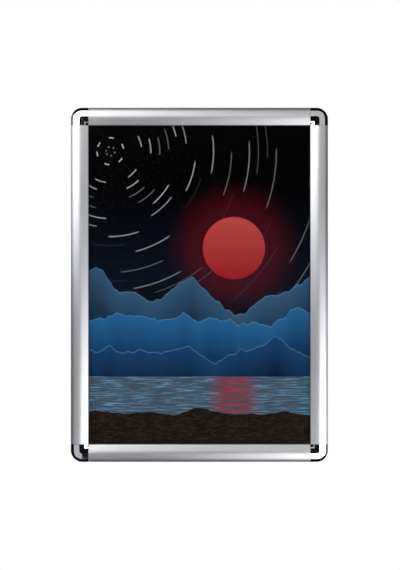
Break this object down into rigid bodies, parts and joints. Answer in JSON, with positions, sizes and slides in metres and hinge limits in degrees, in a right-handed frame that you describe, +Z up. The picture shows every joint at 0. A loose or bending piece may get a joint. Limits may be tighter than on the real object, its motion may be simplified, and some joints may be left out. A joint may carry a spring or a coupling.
{
  "type": "snap frame",
  "caption": "Wall frame for a portrait poster: hinged front rails that snap shut on the picture's edges, rounded chrome corner caps, clear cover sheet and back panel.",
  "frame": {"origin": "middle of the frame's back plane, where it lies on the wall", "axes": "+Z up along the long side, -Y out of the picture towards the viewer, +X to the viewer's right"},
  "size_m": [0.462, 0.0153, 0.636],
  "materials": {
    "anodised_aluminium": "satin silver anodised extrusion",
    "raw_aluminium": "plain extruded",
    "chrome": "mirror chrome on moulded plastic",
    "zinc_plated_steel": "zinc plated",
    "spring_steel": "blued spring steel",
    "black_steel": "black oxide",
    "white_panel": "matt white sheet",
    "printed_paper": "printed poster",
    "clear_sheet": "clear anti-glare sheet"
  },
  "bodies": {
    "frame": {"base_rail_top": "raw_aluminium", "base_rail_right": "raw_aluminium", "base_rail_bottom": "raw_aluminium", "base_rail_left": "raw_aluminium", "corner_cap_top_left": "chrome", "corner_key_top_left": "zinc_plated_steel", "cap_screw_top_left": "black_steel", "grub_screw_top_left_1": "black_steel", "grub_screw_top_left_2": "black_steel", "corner_cap_top_right": "chrome", "corner_key_top_right": "zinc_plated_steel", "cap_screw_top_right": "black_steel", "grub_screw_top_right_1": "black_steel", "grub_screw_top_right_2": "black_steel", "corner_cap_bottom_right": "chrome", "corner_key_bottom_right": "zinc_plated_steel", "cap_screw_bottom_right": "black_steel", "grub_screw_bottom_right_1": "black_steel", "grub_screw_bottom_right_2": "black_steel", "corner_cap_bottom_left": "chrome", "corner_key_bottom_left": "zinc_plated_steel", "cap_screw_bottom_left": "black_steel", "grub_screw_bottom_left_1": "black_steel", "grub_screw_bottom_left_2": "black_steel", "back_panel": "white_panel", "poster": "printed_paper", "cover_sheet": "clear_sheet"},
    "top_rail": {"front_rail_top": "anodised_aluminium"},
    "top_springs": {"spring_top_1": "spring_steel", "spring_top_2": "spring_steel"},
    "right_rail": {"front_rail_right": "anodised_aluminium"},
    "right_springs": {"spring_right_1": "spring_steel", "spring_right_2": "spring_steel", "spring_right_3": "spring_steel"},
    "bottom_rail": {"front_rail_bottom": "anodised_aluminium"},
    "bottom_springs": {"spring_bottom_1": "spring_steel", "spring_bottom_2": "spring_steel"},
    "left_rail": {"front_rail_left": "anodised_aluminium"},
    "left_springs": {"spring_left_1": "spring_steel", "spring_left_2": "spring_steel", "spring_left_3": "spring_steel"}
  },
  "joints": [
    {"name": "top_rail_hinge", "type": "hinge", "parent": "frame", "child": "top_rail", "pos_m": [0, -0.00802, 0.31505], "axis": [-1, 0, 0], "range_deg": [0, 90]},
    {"name": "top_spring_swing", "type": "hinge", "parent": "frame", "child": "top_springs", "pos_m": [0, -0.00255, 0.2991], "axis": [-1, 0, 0], "range_deg": [-17, 0], "deforming": ["spring_top_1", "spring_top_2"]},
    {"name": "right_rail_hinge", "type": "hinge", "parent": "frame", "child": "right_rail", "pos_m": [0.22805, -0.00802, 0], "axis": [0, 0, 1], "range_deg": [0, 90]},
    {"name": "right_spring_swing", "type": "hinge", "parent": "frame", "child": "right_springs", "pos_m": [0.2121, -0.00255, 0], "axis": [0, 0, 1], "range_deg": [-17, 0], "deforming": ["spring_right_1", "spring_right_2", "spring_right_3"]},
    {"name": "bottom_rail_hinge", "type": "hinge", "parent": "frame", "child": "bottom_rail", "pos_m": [0, -0.00802, -0.31505], "axis": [1, 0, 0], "range_deg": [0, 90]},
    {"name": "bottom_spring_swing", "type": "hinge", "parent": "frame", "child": "bottom_springs", "pos_m": [0, -0.00255, -0.2991], "axis": [1, 0, 0], "range_deg": [-17, 0], "deforming": ["spring_bottom_1", "spring_bottom_2"]},
    {"name": "left_rail_hinge", "type": "hinge", "parent": "frame", "child": "left_rail", "pos_m": [-0.22805, -0.00802, 0], "axis": [0, 0, -1], "range_deg": [0, 90]},
    {"name": "left_spring_swing", "type": "hinge", "parent": "frame", "child": "left_springs", "pos_m": [-0.2121, -0.00255, 0], "axis": [0, 0, -1], "range_deg": [-17, 0], "deforming": ["spring_left_1", "spring_left_2", "spring_left_3"]}
  ],
  "couplings": [
    {"joint": "top_spring_swing", "follows": "top_rail_hinge", "ratio": -0.1856},
    {"joint": "right_spring_swing", "follows": "right_rail_hinge", "ratio": -0.1856},
    {"joint": "bottom_spring_swing", "follows": "bottom_rail_hinge", "ratio": -0.1856},
    {"joint": "left_spring_swing", "follows": "left_rail_hinge", "ratio": -0.1856}
  ]
}
